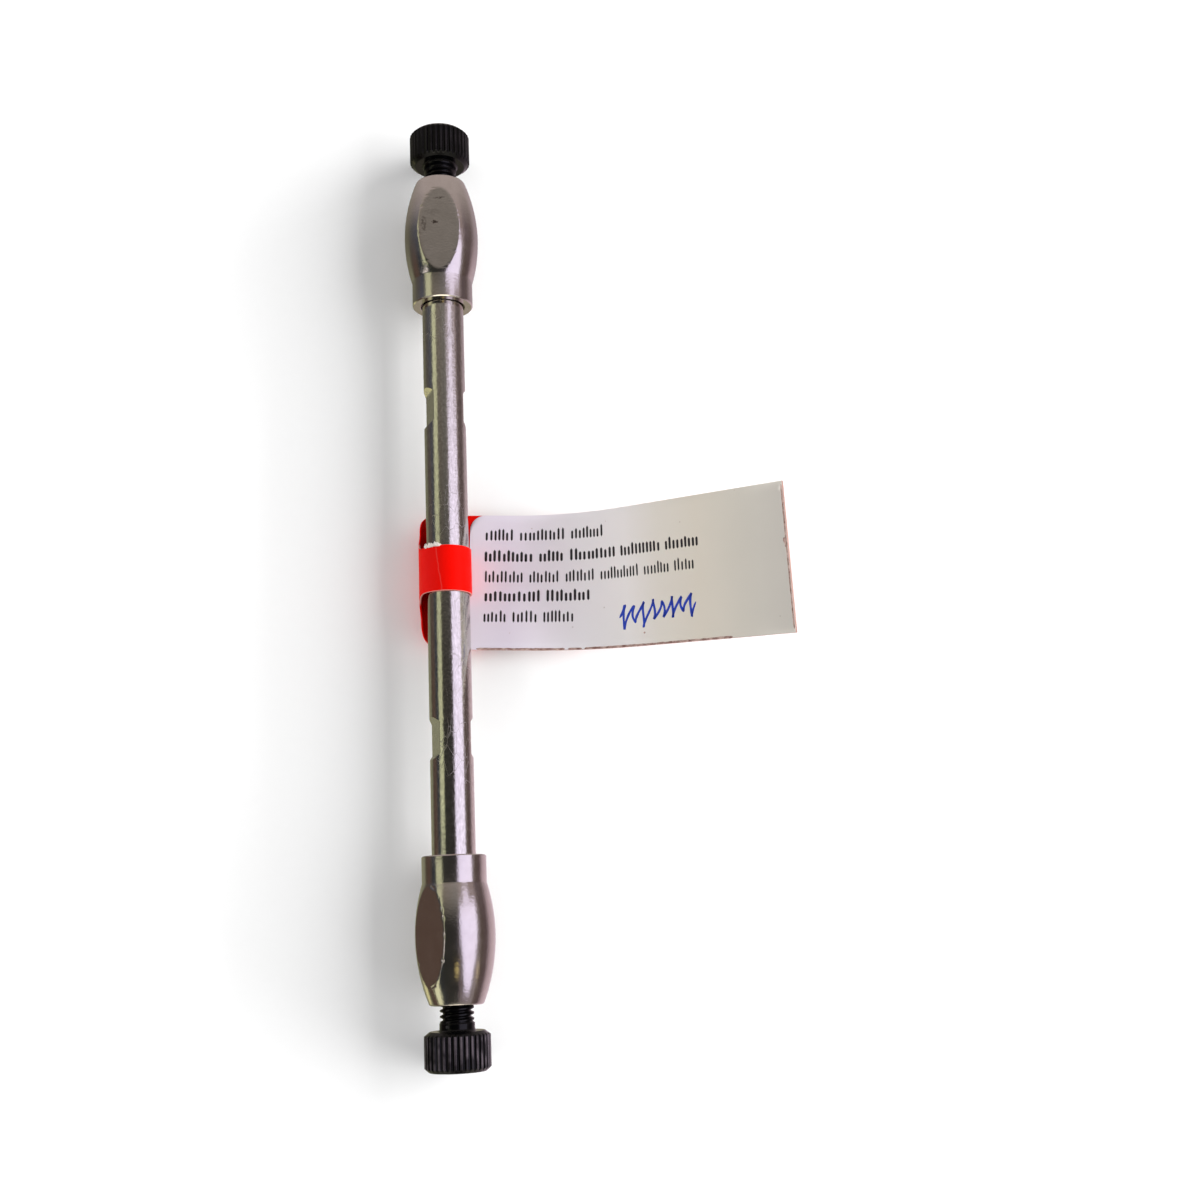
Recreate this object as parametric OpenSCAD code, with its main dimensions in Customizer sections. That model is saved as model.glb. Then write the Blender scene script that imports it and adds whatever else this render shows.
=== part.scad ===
// Packed steel column for liquid chromatography, with shipping plugs and a looped film tag.
// The column axis lies along Y: the inlet end points to +Y, the outlet end to -Y.
// The origin is on that axis at mid-length, and +Z is up as the column lies on a bench.

/* [Column tube] */
// Outside diameter of the tube
tube_od = 6.35; // [6:0.05:7]
// Bore of the tube
bore_d = 2.1; // [1:0.1:3]
// Length of the tube, and of the packing inside it
tube_len = 100; // [90:1:250]
// Chamfer on the outer edge of each tube end
tube_end_chamfer = 0.3; // [0.1:0.05:0.5]
// Distance across each pair of wrench flats on the tube
tube_flats_across = 4.7; // [4.2:0.05:5.2]
// Length of the level bottom of a tube flat
tube_flat_len = 4.7; // [3:0.1:8]
// Slope of the run-out at each end of a tube flat, in degrees
tube_flat_slope = 45; // [30:1:60]
// Distance from an end fitting's face to the middle of the nearest tube flat
tube_flat_from_fitting = 16.85; // [12:0.05:20]
// Turn of the tube flats about the column axis, from the top towards -X, in degrees
tube_flat_turn = 70; // [0:1:180]

/* [End fittings] */
// Length of tube held inside each end fitting
tube_grip = 7.8; // [6.5:0.1:9]
// Diameter of the collar at the tube side
collar_od = 9.3; // [8.8:0.05:9.5]
// Length of the collar
collar_len = 3.88; // [2:0.02:6]
// Chamfer on the collar's outer edge
collar_chamfer = 0.12; // [0.05:0.01:0.4]
// Largest diameter of the barrel
barrel_od = 11.45; // [10.8:0.05:12.5]
// Distance from the collar to the barrel's largest diameter
barrel_swell_at = 7.3; // [6.5:0.1:8.5]
// Radius on the barrel's outer edge at the port face
barrel_end_round = 0.4; // [0.1:0.05:0.6]
// Distance across the two wrench flats of a barrel
barrel_flats_across = 9.525; // [9.525:0.025:10.4]
// Turn of the inlet barrel's flats about the column axis, from the top towards -X, in degrees
inlet_flat_turn = 0; // [-90:1:90]
// Turn of the outlet barrel's flats about the column axis, from the top towards -X, in degrees
outlet_flat_turn = 45; // [-90:1:90]
// Radial room round the tube at the mouth of the collar
mouth_clearance = 0.25; // [0.1:0.01:0.4]
// Depth of the wide mouth in the collar
mouth_depth = 1.2; // [0.6:0.1:2]
// Radial room between the tube and the bore that holds it
grip_clearance = 0.02; // [0.01:0.01:0.05]

/* [Port] */
// Outside diameter of the port's thread
thread_d = 4.83; // [4.6:0.01:5]
// Pitch of the port's thread
thread_pitch = 0.794; // [0.5:0.001:1]
// Radial room between the plug's thread and the port
thread_clearance = 0.035; // [0.02:0.005:0.08]
// Depth of the threaded part of the port
port_depth = 5.6; // [4.5:0.1:6]
// Large diameter of the port's sealing cone
cone_d = 4.2; // [3.9:0.05:4.4]
// Included angle of the sealing cone, in degrees
cone_angle = 45; // [40:1:60]
// Diameter of the pilot hole that takes a sixteenth-inch capillary
pilot_d = 1.62; // [1.6:0.01:1.7]
// Length of the pilot hole
pilot_len = 1.5; // [0.8:0.1:1.8]
// Diameter of the fine passage from the pilot hole to the frit
passage_d = 0.5; // [0.2:0.05:0.8]
// Length of the fine passage, which is the steel left between frit and pilot hole
passage_len = 1.27; // [0.8:0.01:2]
// Chamfer at the mouth of the port
port_chamfer = 0.25; // [0.1:0.05:0.4]

/* [Frits and seal rings] */
// Diameter of each frit
frit_d = 3.2; // [3.1:0.1:4.5]
// Thickness of each frit and of the ring round it
frit_thick = 1.5; // [1:0.1:1.6]
// Radial room between frit and ring, ring and fitting, packing and tube
insert_clearance = 0.02; // [0.01:0.01:0.05]

/* [Plugs] */
// Diameter over the knurl of a plug's head
head_d = 9.4; // [8.6:0.1:11]
// Length of a plug's head
head_len = 5.5; // [4:0.1:8]
// Number of ridges in the knurl
knurl_count = 36; // [18:1:48]
// Depth of the knurl
knurl_depth = 0.28; // [0.1:0.02:0.4]
// Share of the knurl's spacing that a ridge's crest takes
knurl_crest = 0.32; // [0.1:0.02:0.5]
// Share of the knurl's spacing that the bottom of a valley takes
knurl_valley = 0.24; // [0.1:0.02:0.4]
// Length of the chamfer on the head's outer end
head_outer_chamfer_len = 0.6; // [0.3:0.05:1]
// Radial width of the chamfer on the head's outer end
head_outer_chamfer_wide = 0.65; // [0.3:0.05:1]
// Length of the chamfer on the head's inner end
head_inner_chamfer_len = 0.5; // [0.3:0.05:1]
// Radial width of the chamfer on the head's inner end
head_inner_chamfer_wide = 0.8; // [0.3:0.05:1]
// Length of shank between the inlet plug's head and the port face
plug_gap = 3.1; // [2.5:0.1:5]
// Diameter of the plain neck under the head
neck_d = 5; // [4.85:0.05:5.6]
// Length of the plain neck, with its fillet
neck_len = 1.1; // [0.7:0.1:2]
// Radius of the fillet between neck and head
neck_fillet = 0.35; // [0.1:0.05:0.5]
// Depth of the plug's thread
thread_depth = 0.42; // [0.2:0.02:0.5]
// Width of the crest of the plug's thread
thread_crest = 0.2; // [0.1:0.01:0.25]
// Room between the end of the plug's thread and the foot of the threaded port
thread_end_room = 0.3; // [0.2:0.05:0.6]
// Diameter of the plug's nose
nose_d = 3.8; // [3.4:0.05:3.85]
// Diameter of the flat tip of the nose
nose_tip_d = 2.1; // [1.8:0.05:3]
// Room along the axis between the inlet plug's nose and the sealing cone
nose_clearance = 0.1; // [0.05:0.01:0.2]
// How far the outlet plug is backed off from tight, half a turn
outlet_backed_off = 0.4; // [0:0.05:0.8]

/* [Tag] */
// Thickness of the tag's film
film = 0.28; // [0.15:0.01:0.4]
// Width of the tag's body
tag_w = 21; // [15:0.5:30]
// Length of the tag's body, from the column axis to its free end
tag_len = 56.8; // [48:0.2:80]
// Width of the strap that goes round the tube
strap_w = 6.95; // [5:0.05:9]
// Radial room between tube and strap
strap_clearance = 0.08; // [0.05:0.01:0.2]
// Thickness of the glue between the strap's end and the body
glue = 0.05; // [0.03:0.01:0.1]
// How much wider than the tube the slack upper left of the loop is bent
loop_slack = 1.65; // [0.8:0.05:3]
// How much tighter than the tube the lower left of the loop is bent
loop_tuck = 0.9; // [0.3:0.05:1.2]
// Where the strap leaves the tube on the left, from +X towards the top, in degrees
strap_lift_at = 115; // [100:1:130]
// Where the strap's end stops under the tube, from +X downwards, in degrees
strap_end_at = 95; // [85:1:110]
// Place along the column of the middle of the tag's body
tag_mid_y = -0.89; // [-8:0.01:8]
// Turn of the tag's body seen from above, towards +Y, in degrees
tag_skew = -2.5; // [-6:0.1:6]
// Place along the column of the strap's middle, where the shoulders end
strap_mid_y = -0.22; // [-2:0.01:2]
// Drift of the strap towards -Y for each millimetre round the tube
strap_drift = 0.012; // [0:0.001:0.12]
// Distance from the column axis to the start of the shoulders
shoulder_start = 1.5; // [0.5:0.1:1.7]
// Length of the shoulders, measured along the film
shoulder_len = 7; // [5:0.1:8]
// Length of flat film before the tag curls up
curl_start = 10.6; // [7:0.1:18]
// Radius of the curl
curl_r = 24.6; // [18:0.2:40]
// Angle that the tag's free end rises at, in degrees
curl_angle = 42.8; // [5:0.2:60]
// Turn of the curl's own axis against the tag's width, in degrees
curl_turn = 11.2; // [0:0.2:14]
// Slant of the free end's edge against the tag's width, in degrees
end_slant = -2.6; // [-6:0.1:6]

/* [Label] */
// Thickness of the paper label
label_thick = 0.1; // [0.06:0.01:0.15]
// Thickness of the label's glue
label_glue = 0.01; // [0.005:0.005:0.03]
// Distance from the column axis to the label's left edge
label_start = 2.9; // [1:0.1:6]
// Radius on the label's upper left corner
label_corner_r = 2.4; // [0.5:0.1:4]

/* [Hidden] */
$fn = 96;

// Cutters reach this far past the faces that they cut
over = 1;
// The barrel's long arc needs a finer circle than the rest
barrel_fn = 720;

// Places along the column axis, measured from mid-length towards an end
tube_end = tube_len / 2;
collar_face = tube_end - tube_grip;
collar_top = collar_face + collar_len;
frit_seat = tube_end + frit_thick;
pilot_end = frit_seat + passage_len;
pilot_start = pilot_end + pilot_len;
cone_start = pilot_start + (cone_d - pilot_d) / 2 / tan(cone_angle / 2);
port_face = cone_start + port_depth;
barrel_len = port_face - collar_top;
tube_flat_mid = collar_face - tube_flat_from_fitting;

// Radii of the bore that holds the tube, and of the wide mouth in front of it
tube_r = tube_od / 2;
grip_r = tube_r + grip_clearance;
mouth_r = tube_r + mouth_clearance;

// The barrel's outline is one arc through the collar's edge, with its top at the swell
swell_rise = (barrel_od - collar_od) / 2;
barrel_arc_r = (pow(barrel_swell_at, 2) + pow(swell_rise, 2)) / (2 * swell_rise);
barrel_arc_x = barrel_od / 2 - barrel_arc_r;
barrel_arc_z = collar_top + barrel_swell_at;
// The round on the outer edge touches the arc and the port face from inside.
// It is cut this much larger, so that it crosses both at a small angle.
round_reach = 0.005;
round_z = port_face - barrel_end_round;
round_arc_r = barrel_arc_r - barrel_end_round;
round_x = barrel_arc_x + sqrt(pow(round_arc_r, 2) - pow(round_z - barrel_arc_z, 2));
round_touch_z = barrel_arc_z + (round_z - barrel_arc_z) * barrel_arc_r / round_arc_r;

// Plug sizes, measured from the inner face of the head, which lies at zero
head_r = head_d / 2;
shank_r = thread_d / 2;
thread_root_r = shank_r - thread_depth;
nose_r = nose_d / 2;
nose_tip_r = nose_tip_d / 2;
thread_flank = thread_depth * tan(30);
thread_start_z = -neck_len;
thread_end_z = -(plug_gap + port_depth - thread_end_room);
thread_turns = floor((thread_start_z - thread_end_z) / thread_pitch);
// The nose cone lies parallel to the sealing cone, nose_clearance away from it
cone_room = (cone_d / 2 - nose_r) / tan(cone_angle / 2);
nose_cone_z = -(plug_gap + port_depth + cone_room - nose_clearance);
nose_tip_z = nose_cone_z - (nose_r - nose_tip_r) / tan(cone_angle / 2);
inlet_head_z = port_face + plug_gap;
outlet_head_z = port_face + plug_gap + outlet_backed_off;

// Lays a shape that was built up along Z onto the inlet or the outlet end
module towards_inlet() {
  rotate([-90, 0, 0]) children();
}

module towards_outlet() {
  rotate([90, 0, 0]) children();
}

// ---- Column tube ----

// Outline of one run of tube flat, seen from the side: sloping ends and a level bottom
module flat_outline() {
  depth = tube_r - tube_flats_across / 2 + over;
  half = tube_flat_len / 2;
  run = depth / tan(tube_flat_slope);
  translate([tube_flats_across / 2, 0])
    polygon([[0, -half], [depth, -half - run], [depth, half + run], [0, half]]);
}

// The two opposite cuts of one pair of flats, facing up and down
module flat_pair() {
  for (side = [0, 180])
    rotate([0, side - 90, 0])
      linear_extrude(height = tube_od + 2 * over, center = true)
        flat_outline();
}

module column_tube() {
  color("silver")
    difference() {
      towards_inlet()
        rotate_extrude()
          polygon([
            [bore_d / 2, -tube_end],
            [tube_r - tube_end_chamfer, -tube_end],
            [tube_r, -tube_end + tube_end_chamfer],
            [tube_r, tube_end - tube_end_chamfer],
            [tube_r - tube_end_chamfer, tube_end],
            [bore_d / 2, tube_end]
          ]);
      for (end = [1, -1])
        translate([0, end * tube_flat_mid, 0])
          rotate([0, -tube_flat_turn, 0])
            flat_pair();
    }
}

// ---- Packed bed ----

module packed_bed() {
  color("ivory")
    towards_inlet()
      cylinder(d = bore_d - 2 * insert_clearance, h = tube_len, center = true);
}

// ---- End fittings ----

// Outer half outline of a fitting: collar, swelling barrel and a rounded outer edge
module fitting_outer_outline() {
  collar_r = collar_od / 2;
  polygon([
    [0, collar_face],
    [collar_r - collar_chamfer, collar_face],
    [collar_r, collar_face + collar_chamfer],
    [collar_r, collar_top + over],
    [0, collar_top + over]
  ]);
  difference() {
    intersection() {
      translate([barrel_arc_x, barrel_arc_z])
        circle(r = barrel_arc_r, $fn = barrel_fn);
      translate([0, collar_top - over])
        square([barrel_od, barrel_len + over]);
    }
    difference() {
      translate([round_x, round_touch_z])
        square(over);
      translate([round_x, round_z])
        circle(r = barrel_end_round + round_reach);
    }
  }
}

// Everything that is bored out of a fitting, as one half outline
module fitting_bore_outline() {
  port_r = shank_r + thread_clearance;
  polygon([
    [0, collar_face - over],
    [mouth_r + over, collar_face - over],
    [mouth_r, collar_face],
    [mouth_r, collar_face + mouth_depth],
    [grip_r, collar_face + mouth_depth],
    [grip_r, frit_seat],
    [passage_d / 2, frit_seat],
    [passage_d / 2, pilot_end],
    [pilot_d / 2, pilot_end],
    [pilot_d / 2, pilot_start],
    [cone_d / 2, cone_start],
    [port_r, cone_start],
    [port_r, port_face - port_chamfer],
    [port_r + port_chamfer + over, port_face + over],
    [0, port_face + over]
  ]);
}

// One end fitting along +Z, with its flats facing +X and -X
module end_fitting() {
  difference() {
    rotate_extrude()
      difference() {
        fitting_outer_outline();
        fitting_bore_outline();
      }
    for (side = [1, -1])
      translate([side * (barrel_flats_across + barrel_od) / 2, 0, collar_top + barrel_len / 2])
        cube([barrel_od, 2 * barrel_od, barrel_len + 2 * over], center = true);
  }
}

module inlet_end_fitting() {
  color("silver")
    towards_inlet()
      rotate([0, 0, -90 - inlet_flat_turn])
        end_fitting();
}

module outlet_end_fitting() {
  color("silver")
    towards_outlet()
      rotate([0, 0, 90 + outlet_flat_turn])
        end_fitting();
}

// ---- Frits and seal rings ----

module frit() {
  translate([0, 0, tube_end])
    cylinder(d = frit_d, h = frit_thick);
}

module seal_ring() {
  translate([0, 0, tube_end])
    difference() {
      cylinder(r = grip_r - insert_clearance, h = frit_thick);
      translate([0, 0, -over])
        cylinder(d = frit_d + 2 * insert_clearance, h = frit_thick + 2 * over);
    }
}

module inlet_frit() {
  color("gray") towards_inlet() frit();
}

module outlet_frit() {
  color("gray") towards_outlet() frit();
}

module inlet_seal_ring() {
  color("tan") towards_inlet() seal_ring();
}

module outlet_seal_ring() {
  color("tan") towards_outlet() seal_ring();
}

// ---- Plugs ----

// Corner points of the knurl: each ridge has a flat crest and slopes down to a valley
function knurl_points() = [
  for (ridge = [0 : knurl_count - 1])
    for (corner = [
      [-knurl_crest / 2, head_r],
      [knurl_crest / 2, head_r],
      [0.5 - knurl_valley / 2, head_r - knurl_depth],
      [0.5 + knurl_valley / 2, head_r - knurl_depth]
    ])
      let (angle = 360 * (ridge + corner[0]) / knurl_count)
        corner[1] * [cos(angle), sin(angle)]
];

// The knurled head, with its inner face at zero and its outer end up.
// The chamfer on the inner end is a plain cone that meets the ridges halfway up their slopes.
module plug_head() {
  inner_r = head_r - head_inner_chamfer_wide;
  outer_r = head_r - head_outer_chamfer_wide;
  slope = head_outer_chamfer_wide / head_outer_chamfer_len;
  cylinder(r1 = inner_r, r2 = head_r - knurl_depth / 2, h = head_inner_chamfer_len);
  intersection() {
    translate([0, 0, head_inner_chamfer_len])
      linear_extrude(height = head_len - head_inner_chamfer_len)
        polygon(knurl_points());
    rotate_extrude()
      polygon([
        [0, 0],
        [head_r + over, 0],
        [head_r + over, head_len - head_outer_chamfer_len - over / slope],
        [outer_r, head_len],
        [0, head_len]
      ]);
  }
}

// Half outline of the thread: one groove for each turn, down from the neck
function thread_points() = [
  for (turn = [0 : thread_turns - 1])
    let (
      z = thread_start_z - turn * thread_pitch,
      root_len = thread_pitch - thread_crest - 2 * thread_flank
    )
      for (corner = [
        [shank_r, z],
        [thread_root_r, z - thread_flank],
        [thread_root_r, z - thread_flank - root_len],
        [shank_r, z - 2 * thread_flank - root_len]
      ])
        corner
];

// The shank below the head: neck with its fillet, thread, and nose cone
module plug_shank() {
  neck_r = neck_d / 2;
  rotate_extrude()
    union() {
      polygon(concat(
        [[0, head_inner_chamfer_len], [neck_r, head_inner_chamfer_len], [neck_r, thread_start_z]],
        thread_points(),
        [
          [shank_r, thread_end_z],
          [nose_r, thread_end_z],
          [nose_r, nose_cone_z],
          [nose_tip_r, nose_tip_z],
          [0, nose_tip_z]
        ]
      ));
      difference() {
        translate([0, -neck_fillet])
          square([neck_r + neck_fillet, neck_fillet + head_inner_chamfer_len]);
        translate([neck_r + neck_fillet, -neck_fillet])
          circle(r = neck_fillet);
        translate([neck_r + neck_fillet / 2, 0])
          square([over + neck_fillet, over]);
      }
    }
}

module plug() {
  plug_head();
  plug_shank();
}

module inlet_plug() {
  color("#1a1a1a")
    towards_inlet()
      translate([0, 0, inlet_head_z])
        plug();
}

module outlet_plug() {
  color("#1a1a1a")
    towards_outlet()
      translate([0, 0, outlet_head_z])
        plug();
}

// ---- Tag and label ----

// The film's middle surface follows a path in the XZ plane: round the tube as the strap,
// then under the tube and away from it as the body. The path is measured back from the
// column axis, so it is 0 under the axis and grows round the left of the tube.
strap_path_r = tube_r + strap_clearance + film / 2;
body_z = -(strap_path_r + film + glue);
slack_r = strap_path_r + loop_slack;
tuck_r = strap_path_r - loop_tuck;
slack_mid = (strap_path_r - slack_r) * [cos(strap_lift_at), sin(strap_lift_at)];
// The lower left arc meets the slack arc at this angle and runs out level under the tube
tuck_at = 180 - asin((body_z + tuck_r - slack_mid[1]) / (slack_r - tuck_r));
tuck_mid = slack_mid + (slack_r - tuck_r) * [cos(tuck_at), sin(tuck_at)];
// Lengths along the path where its arcs begin
path_tuck = -tuck_mid[0];
path_slack = path_tuck + arc_len(tuck_r, 270 - tuck_at);
path_strap = path_slack + arc_len(slack_r, tuck_at - strap_lift_at);
path_end = path_strap + arc_len(strap_path_r, strap_lift_at + strap_end_at);

function arc_len(r, angle) = r * angle * PI / 180;
function arc_angle(r, length) = length / r * 180 / PI;

// Place and heading on an arc of the loop; the heading is the way back towards the body
function on_arc(mid, r, angle) = [mid[0] + r * cos(angle), mid[1] + r * sin(angle), angle + 90];

// [x, z, heading] at a distance back along the path
function loop_at(back) =
  back <= path_tuck ? [-back, body_z, 0] :
  back <= path_slack ? on_arc(tuck_mid, tuck_r, 270 - arc_angle(tuck_r, back - path_tuck)) :
  back <= path_strap ? on_arc(slack_mid, slack_r, tuck_at - arc_angle(slack_r, back - path_slack)) :
  on_arc([0, 0], strap_path_r, strap_lift_at - arc_angle(strap_path_r, back - path_strap));

// The body's long edges, as far from its middle line as edge, carried on straight
function body_edge_y(x, edge) = tag_mid_y + x * tan(tag_skew) + edge / cos(tag_skew);
function strap_edge_y(back, edge) =
  strap_mid_y - strap_drift * (back - shoulder_start - shoulder_len) + edge;

// A shoulder is a round outer corner and a round inner one; turn runs from 0 to 180 over it
function shoulder_back(turn) =
  shoulder_start + shoulder_len / 2 * (turn < 90 ? sin(turn) : 2 - sin(turn));
function shoulder_mix(turn) = (1 - cos(turn)) / 2;

// A station is a line across the film: its two edge points and the film's upper normal
function loop_station(back, mix) =
  let (
    place = loop_at(back),
    high = (1 - mix) * body_edge_y(-back, tag_w / 2) + mix * strap_edge_y(back, strap_w / 2),
    low = (1 - mix) * body_edge_y(-back, -tag_w / 2) + mix * strap_edge_y(back, -strap_w / 2)
  )
    [[place[0], high, place[1]], [place[0], low, place[1]], [-sin(place[2]), 0, cos(place[2])]];

// The body in its flat state: along runs down its length, across over its width.
// The curl bends it about lines that are turned by curl_turn against its width.
function curl_distance(along, across) = along * cos(curl_turn) + across * sin(curl_turn);
function curl_rise(bent) = curl_r * (1 - cos(bent));
function body_point(along, across) =
  let (
    n = curl_distance(along, across),
    g = across * cos(curl_turn) - along * sin(curl_turn),
    bent = max(0, min(curl_angle, arc_angle(curl_r, n - curl_start))),
    straight = max(0, n - curl_start - arc_len(curl_r, curl_angle)),
    reach = min(n, curl_start) + curl_r * sin(bent) + straight * cos(curl_angle),
    z = curl_rise(bent) + straight * sin(curl_angle),
    turn = tag_skew + curl_turn
  )
    [reach * cos(turn) - g * sin(turn), tag_mid_y + reach * sin(turn) + g * cos(turn), body_z + z];
function body_normal(bent) =
  let (turn = tag_skew + curl_turn)
    [-sin(bent) * cos(turn), -sin(bent) * sin(turn), cos(bent)];
function body_station(along_high, along_low, high, low, bent) =
  [body_point(along_high, high), body_point(along_low, low), body_normal(bent)];

// Stations along the curl, each on one of its own straight lines, and then the free end
curl_steps = 24;
function curl_along(n, across) = (n - across * sin(curl_turn)) / cos(curl_turn);
function end_along(across) = tag_len + across * tan(end_slant);
function curl_stations() = concat(
  [
    for (step = [0 : curl_steps])
      let (bent = curl_angle * step / curl_steps, n = curl_start + arc_len(curl_r, bent))
        body_station(curl_along(n, tag_w / 2), curl_along(n, -tag_w / 2), tag_w / 2, -tag_w / 2, bent)
  ],
  [body_station(end_along(tag_w / 2), end_along(-tag_w / 2), tag_w / 2, -tag_w / 2, curl_angle)]
);

// The strap from its end under the tube up to the shoulders, and the shoulders down to the body
strap_steps = 56;
shoulder_step = 7.5;
function loop_stations() = concat(
  [
    for (step = [0 : strap_steps - 1])
      let (strap_from = shoulder_start + shoulder_len)
        loop_station(path_end + (strap_from - path_end) * step / strap_steps, 1)
  ],
  [
    for (turn = [180 : -shoulder_step : 0])
      loop_station(shoulder_back(turn), shoulder_mix(turn))
  ]
);

// A skin of given thickness over a row of stations, with its lower face raised by lift
module film_skin(stations, lift, thick) {
  count = len(stations);
  points = [
    for (s = stations)
      for (corner = [[0, lift], [1, lift], [1, lift + thick], [0, lift + thick]])
        s[corner[0]] + corner[1] * s[2]
  ];
  sides = [
    for (i = [0 : count - 2])
      for (edge = [0 : 3])
        let (a = 4 * i + edge, b = 4 * i + (edge + 1) % 4)
          for (face = [[a, b, b + 4], [a, b + 4, a + 4]])
            face
  ];
  last = 4 * (count - 1);
  ends = [[0, 3, 2], [0, 2, 1], [last, last + 1, last + 2], [last, last + 2, last + 3]];
  polyhedron(points = points, faces = concat(sides, ends));
}

module tag() {
  color("red")
    film_skin(concat(loop_stations(), curl_stations()), -film / 2, film);
}

// The label's left end has one round corner, where the film shows
label_corner_step = 10;
function label_stations() = concat(
  [
    for (turn = [0 : label_corner_step : 90])
      let (
        along = label_start + label_corner_r * (1 - cos(turn)),
        high = tag_w / 2 - label_corner_r * (1 - sin(turn))
      )
        body_station(along, along, high, -tag_w / 2, 0)
  ],
  curl_stations()
);

module tag_label() {
  color("white")
    film_skin(label_stations(), film / 2 + label_glue, label_thick);
}

column_tube();
packed_bed();
inlet_end_fitting();
outlet_end_fitting();
inlet_frit();
outlet_frit();
inlet_seal_ring();
outlet_seal_ring();
inlet_plug();
outlet_plug();
tag();
tag_label();
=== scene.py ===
"""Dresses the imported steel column: tube, end fittings, shipping plugs, red film tag and paper label.

The column axis lies along Y with the inlet end towards +Y. Sizes below are in millimetres and are
the same as the part's own; make_piece() turns them to metres.
"""

import random
from math import acos, asin, cos, pi, radians, sin, sqrt, tan, tau

import bmesh
import bpy
from mathutils import Matrix, Vector, noise


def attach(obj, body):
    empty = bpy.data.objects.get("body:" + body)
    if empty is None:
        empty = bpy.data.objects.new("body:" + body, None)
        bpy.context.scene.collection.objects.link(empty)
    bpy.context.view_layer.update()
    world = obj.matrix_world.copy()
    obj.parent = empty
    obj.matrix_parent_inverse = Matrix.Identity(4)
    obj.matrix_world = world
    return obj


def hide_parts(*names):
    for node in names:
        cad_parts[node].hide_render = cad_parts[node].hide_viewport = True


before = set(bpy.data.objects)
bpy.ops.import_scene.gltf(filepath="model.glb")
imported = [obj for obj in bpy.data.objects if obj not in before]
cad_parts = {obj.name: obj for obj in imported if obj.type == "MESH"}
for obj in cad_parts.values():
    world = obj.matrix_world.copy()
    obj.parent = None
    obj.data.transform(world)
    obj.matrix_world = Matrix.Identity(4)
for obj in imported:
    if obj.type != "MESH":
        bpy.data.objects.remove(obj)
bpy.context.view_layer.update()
scene = bpy.context.scene
chance = random.Random(4077)

MM = 0.001

# ---------------------------------------------------------------- sizes of the column

TUBE_R = 3.175
TUBE_BORE_R = 1.05
TUBE_END = 50.0
TUBE_END_CHAMFER = 0.3
TUBE_FLAT_LOW = 2.35
TUBE_FLAT_HALF = 2.35
TUBE_FLAT_MID = 25.35
TUBE_FLAT_TURN = 70.0

COLLAR_FACE = 42.2
COLLAR_TOP = 46.08
COLLAR_R = 4.65
COLLAR_CHAMFER = 0.16
BARREL_R = 5.72
SWELL_AT = 53.38
BARREL_ARC_R = 25.3243
PORT_FACE = 62.984
BARREL_ROUND = 0.4
BARREL_FLAT_LOW = 4.7625
MOUTH_R = 3.425
MOUTH_DEPTH = 1.2
GRIP_R = 3.195
FRIT_SEAT = 51.5
PASSAGE_R = 0.25
PILOT_END = 52.77
PILOT_R = 0.81
PILOT_START = 54.27
CONE_R = 2.1
CONE_START = 57.384
PORT_R = 2.45
PORT_CHAMFER = 0.25
PORT_GROOVE = 0.2
THREAD_PITCH = 0.794

HEAD_R = 4.7
HEAD_LEN = 5.5
RIDGES = 36
RIDGE_DEPTH = 0.28
RIDGE_CREST = 0.32
RIDGE_VALLEY = 0.24
RIDGE_CROWN = 0.005
RIDGE_COLUMNS = 12
INNER_CHAMFER = (0.5, 0.8)
OUTER_CHAMFER = (0.6, 0.65)
NECK_R = 2.5
NECK_LEN = 1.1
NECK_FILLET = 0.35
SHANK_R = 2.415
THREAD_DEPTH = 0.42
THREAD_CREST = 0.2
THREAD_END = -8.4
NOSE_R = 1.9
NOSE_TIP_R = 1.05
NOSE_CONE = -9.083
NOSE_TIP = -11.135
SHANK_COLUMNS = 96
INLET_HEAD = 66.084
OUTLET_HEAD = 66.484

FILM = 0.28
FILM_COLUMNS = 16
TAG_W = 21.0
TAG_LEN = 56.8
STRAP_W = 6.95
TAG_MID_Y = -0.89
TAG_SKEW = radians(-2.5)
STRAP_MID_Y = -0.22
STRAP_DRIFT = 0.012
SHOULDER_START = 1.5
SHOULDER_LEN = 7.0
CURL_START = 10.6
CURL_R = 24.6
CURL_ANGLE = radians(42.8)
CURL_TURN = radians(11.2)
END_SLANT = radians(-2.6)
STRAP_PATH_R = TUBE_R + 0.08 + FILM / 2
BODY_Z = -(STRAP_PATH_R + FILM + 0.05)
SLACK_R = STRAP_PATH_R + 1.65
TUCK_R = STRAP_PATH_R - 0.9
STRAP_LIFT_AT = radians(115)
STRAP_END_AT = radians(95)
LABEL_THICK = 0.1
LABEL_GLUE = 0.01
LABEL_START = 2.9
LABEL_CORNER_R = 2.4
FLOOR_Z = -5.725
FLOOR_REACH = 720


# ---------------------------------------------------------------- making meshes

def make_piece(name, skin, finish, body, stands_for=()):
    """A new mesh from a skin in millimetres; it rides on a body and may stand for a CAD node."""
    points, faces = skin
    mesh = bpy.data.meshes.new(name)
    mesh.from_pydata([Vector(p) * MM for p in points], [], faces)
    tidy = bmesh.new()
    tidy.from_mesh(mesh)
    bmesh.ops.remove_doubles(tidy, verts=tidy.verts, dist=1e-8)
    bmesh.ops.recalc_face_normals(tidy, faces=tidy.faces)
    tidy.to_mesh(mesh)
    tidy.free()
    mesh.shade_smooth()
    mesh.materials.append(finish)
    piece = bpy.data.objects.new(name, mesh)
    scene.collection.objects.link(piece)
    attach(piece, body)
    if stands_for:
        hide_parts(*stands_for)


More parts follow.
